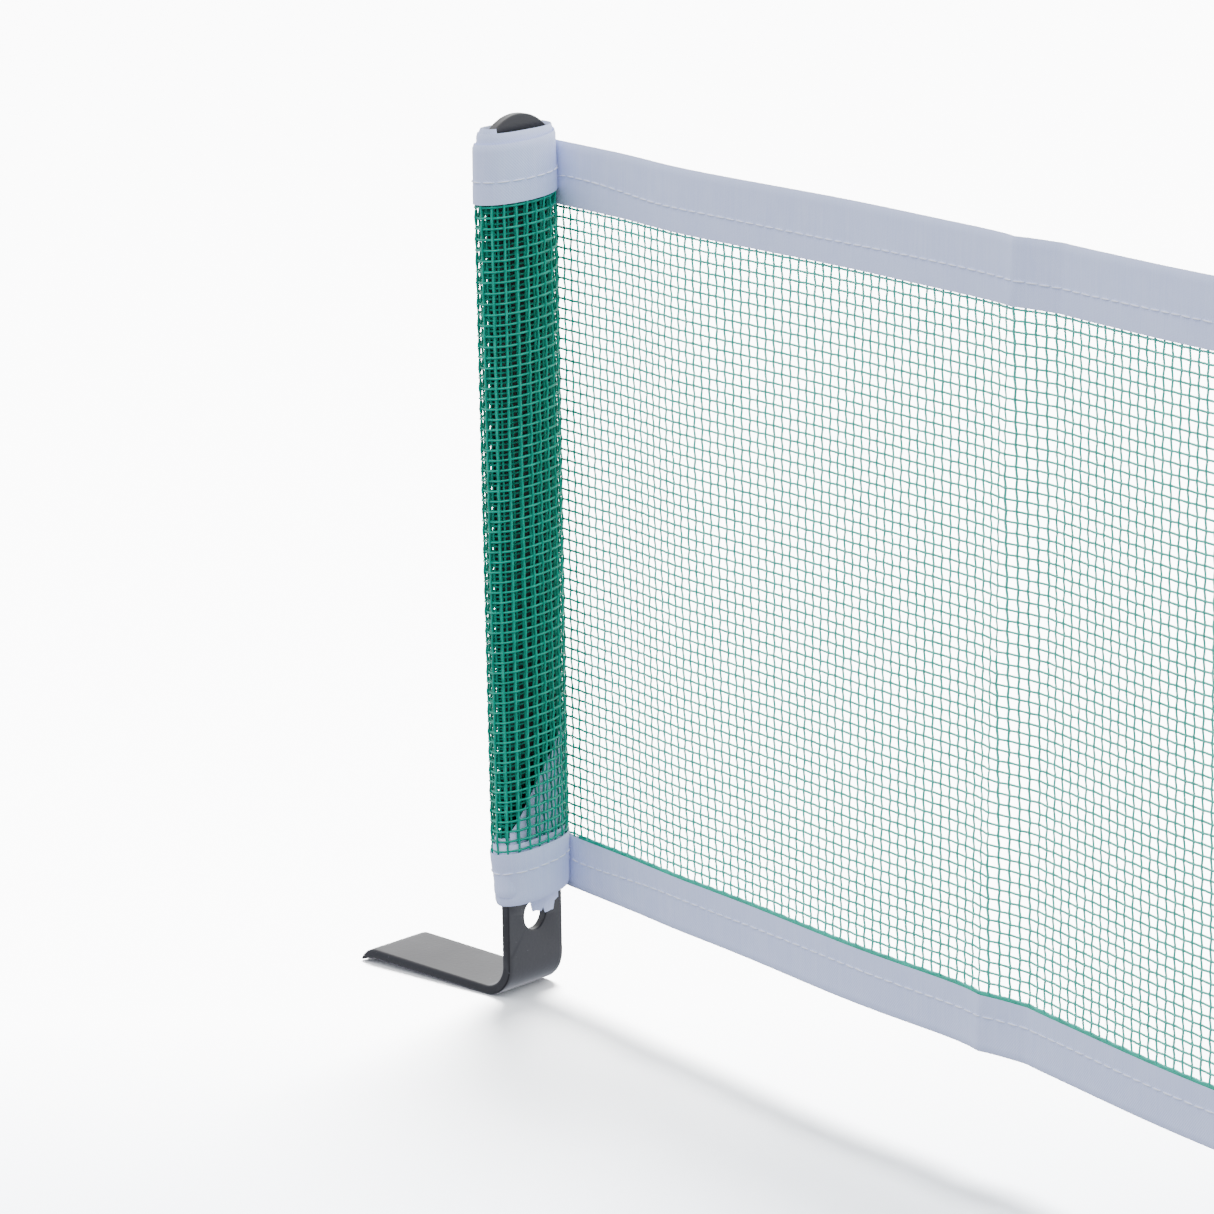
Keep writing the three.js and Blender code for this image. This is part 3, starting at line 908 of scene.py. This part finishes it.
# %% Bind the net's edges
TAPE_END = TOUCH - WOUND
CUT_EDGE = math.radians(50)
EDGES = {
    "top": (TOP_TAPE, NET_TOP, 1),
    "bottom": (BOTTOM_TAPE, NET_LOW, -1),
}
for place, (width, fold_height, downward) in EDGES.items():
    wound = folded_tape(TAPE_END, JOIN, width, fold_height, downward)
    lay(wound, keep_map=False)
    bindings = both_windings(f"wound_{place}_binding", wound, WHITE_TAPE,
                             f"wound_{place}_tape")
    for piece in bindings:
        piece.data.set_sharp_from_angle(angle=CUT_EDGE)
    stitches = seam(TAPE_END, JOIN, width, fold_height, downward, seed=3)
    lay(stitches)
    both_windings(f"wound_{place}_stitches", stitches, WHITE_THREAD,
                  f"wound_{place}_stitching")
    for side, first, last in (("left", JOIN, MIDDLE), ("right", MIDDLE, 2 * MIDDLE - JOIN)):
        half = folded_tape(first, last, width, fold_height, downward)
        lay(half, keep_map=False)
        piece = finish_piece(f"net_{place}_binding_{side}_half", half, WHITE_TAPE,
                             None, [f"net_{place}_tape"])
        half.set_sharp_from_angle(angle=CUT_EDGE)
        bend_at_fold(piece)
        stitches = seam(first, last, width, fold_height, downward, seed=5)
        lay(stitches)
        piece = finish_piece(f"net_{place}_stitches_{side}_half", stitches, WHITE_THREAD,
                             None, [f"net_{place}_stitching"])
        bend_at_fold(piece)

# %% [markdown]
# ## Loose ends of the tape
# Two scraps of tape show at each post. A folded corner lies behind the two outer turns of mesh,
# with its edge running down towards the near side. A torn tail hangs in two lobes below the
# winding, in front of the strip, and covers the top of the screw hole.

# %% Sizes of the scraps
CORNER_HIGH = 55 * MM
CORNER_LOW = 29 * MM
CORNER_NEAR_HIGH = CORNER_LOW + 4.5 * MM  # at its near side, where it is lowest
CORNER_TURNS = (2.60, 2.985)
CORNER_DEPTH = 0.6 * MM  # outside the turn that it lies on
TAIL_FROM, TAIL_TO = -4.2 * MM, 6.2 * MM  # along the strip's width
TAIL_HIGH = 30 * MM
TAIL_SHOULDER = 21.6 * MM  # height of the tail's edge beside its lobes
TAIL_SWELL = 0.35 * MM
TAIL_DEPTH = STRIP_THICKNESS / 2 + 0.5 * MM
TAIL_STEPS = 40


def scrap(columns, rows):
    """A square of cloth, one by one, standing in the plane of the net."""
    bm = bmesh.new()
    upright_grid = Matrix.Rotation(math.pi / 2, 4, "X")
    bmesh.ops.create_grid(bm, x_segments=columns, y_segments=rows, size=0.5, matrix=upright_grid)
    bmesh.ops.translate(bm, verts=bm.verts, vec=(0.5, 0, 0.5))
    bmesh.ops.solidify(bm, geom=bm.faces[:], thickness=1.0)
    mesh = mesh_from(bm, "scrap")
    places = points_of(mesh)
    places[:, 1] = np.where(places[:, 1] > places[:, 1].mean(), CLOTH / 2, -CLOTH / 2)
    return mesh, places


# %% Fold a corner of tape behind the outer turns
corner, places = scrap(24, 24)
near_end, far_end = (TOUCH - np.interp(turn, path_turn, travelled) for turn in CORNER_TURNS)
share = places[:, 0].copy()
high = CORNER_NEAR_HIGH + (CORNER_HIGH - CORNER_NEAR_HIGH) * share
places[:, 0] = near_end + (far_end - near_end) * share
places[:, 1] += CORNER_DEPTH + 0.12 * MM * np.sin(places[:, 0] / 0.0021)
places[:, 2] = CORNER_LOW + (high - CORNER_LOW) * places[:, 2]
move_points(corner, places)
lay(corner)
for piece in both_windings("folded_corner", corner, WHITE_TAPE, "corner_patch"):
    piece.data.set_sharp_from_angle(angle=CUT_EDGE)


# %% Tear a tail that hangs in two lobes
def torn_edge(width):
    """How low the tail hangs at each place along the strip's width."""
    first_lobe = 4.1 * eased((width + 2.7 * MM) / (1.2 * MM))
    first_lobe = first_lobe * (1 - 0.3 * eased((width - 0.5 * MM) / (0.8 * MM)))
    second_lobe = 4.8 * eased((width - 0.5 * MM) / (1.0 * MM))
    second_lobe = second_lobe * (1 - eased((width - 4.2 * MM) / (1.3 * MM)))
    frays = 0.12 * np.sin(width / 0.0006) + 0.08 * np.sin(width / 0.00037 + 1)
    return TAIL_SHOULDER - MM * (np.maximum(first_lobe, second_lobe) + frays)


tail, places = scrap(TAIL_STEPS, 16)
width = TAIL_FROM + (TAIL_TO - TAIL_FROM) * places[:, 0]
low = torn_edge(width)
height = low + (TAIL_HIGH - low) * places[:, 2]
keep_flat_map(tail, np.stack((width, places[:, 1], height), axis=1))
swell = TAIL_SWELL * np.sin(width / 0.0017 + 0.6) * eased((TAIL_HIGH - height) / (9 * MM))
tail_depth = TAIL_DEPTH + 0.25 * MM + swell + places[:, 1]
move_points(tail, np.stack((tail_depth, width, height), axis=1))
tail.transform(to_left_end)
for piece in both_windings("torn_tail", tail, WHITE_TAPE, "tape_tail"):
    piece.data.set_sharp_from_angle(angle=CUT_EDGE)

# %% [markdown]
# ## The selvage
# Above the lower tape the mesh ends in a thicker green edge thread, which the tape leaves bare.

# %% Lay the selvage
SELVAGE_RADIUS = 0.36 * MM
SELVAGE_STEPS = 56
for side, first, last in (("left", JOIN, MIDDLE), ("right", MIDDLE, 2 * MIDDLE - JOIN)):
    step = (last - first) / SELVAGE_STEPS
    thread = drawn_thread(SELVAGE_RADIUS, Vector((1, 0, 0)), step, SELVAGE_STEPS, sides=10)
    flat = points_of(thread)
    flat[:, 0] += first
    flat[:, 2] += BOTTOM_TAPE_HIGH + 0.1 * MM
    move_points(thread, flat)
    lay(thread)
    piece = finish_piece(f"net_selvage_{side}_half", thread, GREEN_THREAD, None,
                         ["net_bottom_selvage"])
    bend_at_fold(piece)
